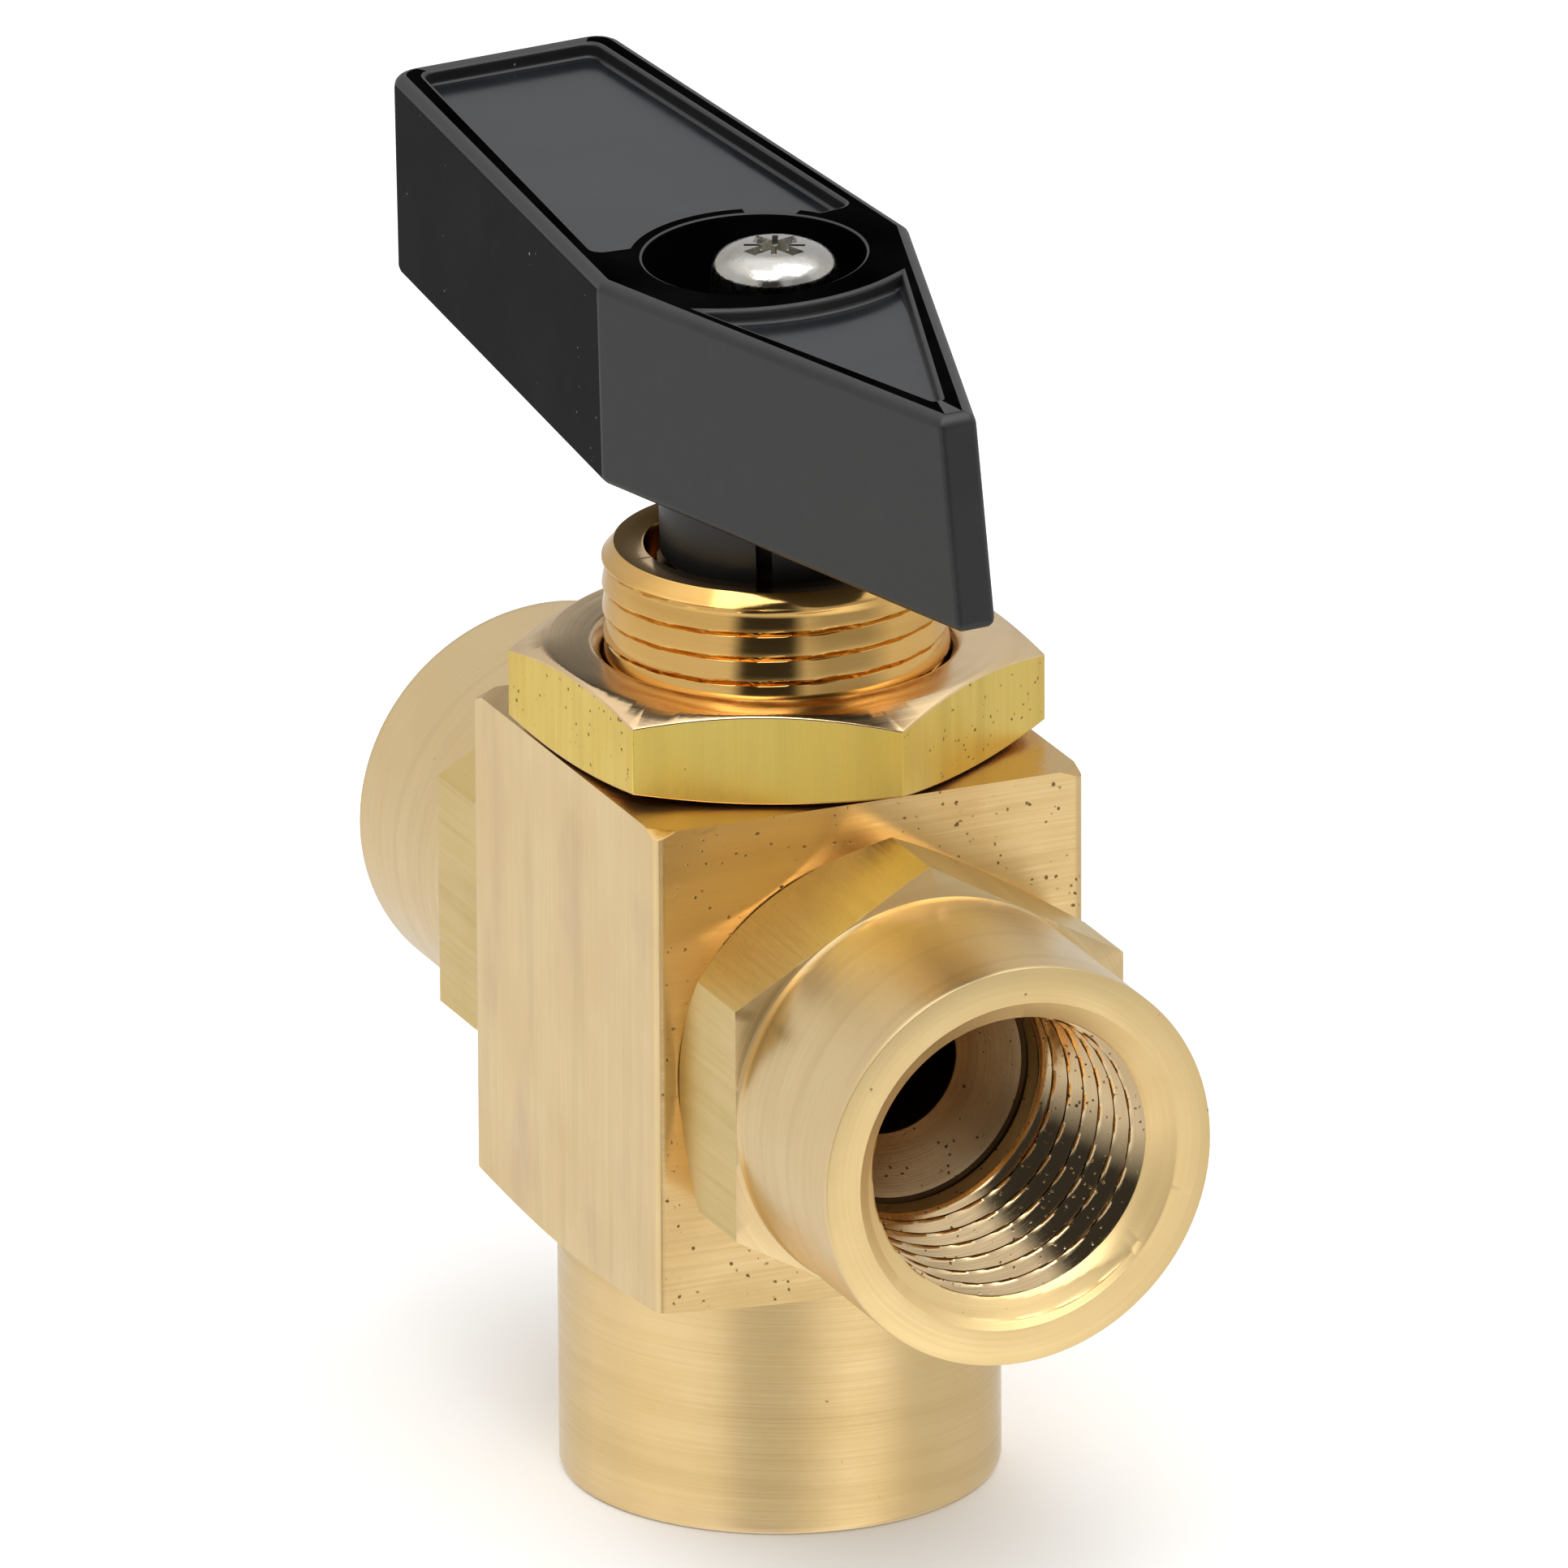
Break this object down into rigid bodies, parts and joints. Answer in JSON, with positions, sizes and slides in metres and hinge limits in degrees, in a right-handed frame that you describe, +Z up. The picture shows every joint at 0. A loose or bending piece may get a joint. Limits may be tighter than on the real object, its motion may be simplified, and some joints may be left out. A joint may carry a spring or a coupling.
{
  "type": "three way valve",
  "caption": "Three-way ball valve: square brass body with side and bottom threaded ports, panel-mount neck and nut, and a black pointer handle.",
  "frame": {"origin": "under the middle of the whole valve, on the plane of the bottom port's end face; the stem axis stands at x = 1.985 mm and the port axis at z = 21.12 mm", "axes": "+Z up along the stem, +X along the right port and the handle's pointer at rest, +Y to the back"},
  "size_m": [0.0526, 0.0198, 0.0528],
  "materials": {
    "body_brass": "machined, brushed",
    "adapter_brass": "turned, satin",
    "nut_brass": "turned top, drawn flats",
    "gland_brass": "machined",
    "handle_nylon": "moulded, semi-gloss",
    "screw_nickel": "nickel plated",
    "ball_plated": "polished plate",
    "stem_steel": "machined stainless",
    "ptfe": "white PTFE",
    "seal_rubber": "moulded"
  },
  "bodies": {
    "body": {"valve_body": "body_brass", "end_adapter_right": "adapter_brass", "end_adapter_left": "adapter_brass", "adapter_o_ring_right": "seal_rubber", "adapter_o_ring_left": "seal_rubber", "seat_right": "ptfe", "seat_left": "ptfe", "stem_thrust_washer": "ptfe", "packing_ring_lower": "ptfe", "packing_ring_upper": "ptfe", "gland_follower": "gland_brass", "packing_spring": "stem_steel", "gland_nut": "gland_brass"},
    "turning": {"handle": "handle_nylon", "handle_screw": "screw_nickel", "lock_washer": "stem_steel", "stem": "stem_steel", "stop_pin": "stem_steel", "ball": "ball_plated"},
    "nut": {"panel_nut": "nut_brass"}
  },
  "joints": [
    {"name": "handle_turn", "type": "hinge", "parent": "body", "child": "turning", "pos_m": [0.00198, 0, 0.02112], "axis": [0, 0, 1], "range_deg": [0, 180]},
    {"name": "panel_nut_travel", "type": "slide", "parent": "body", "child": "nut", "axis": [0, 0, 1], "range_m": [0, 0.004]}
  ]
}
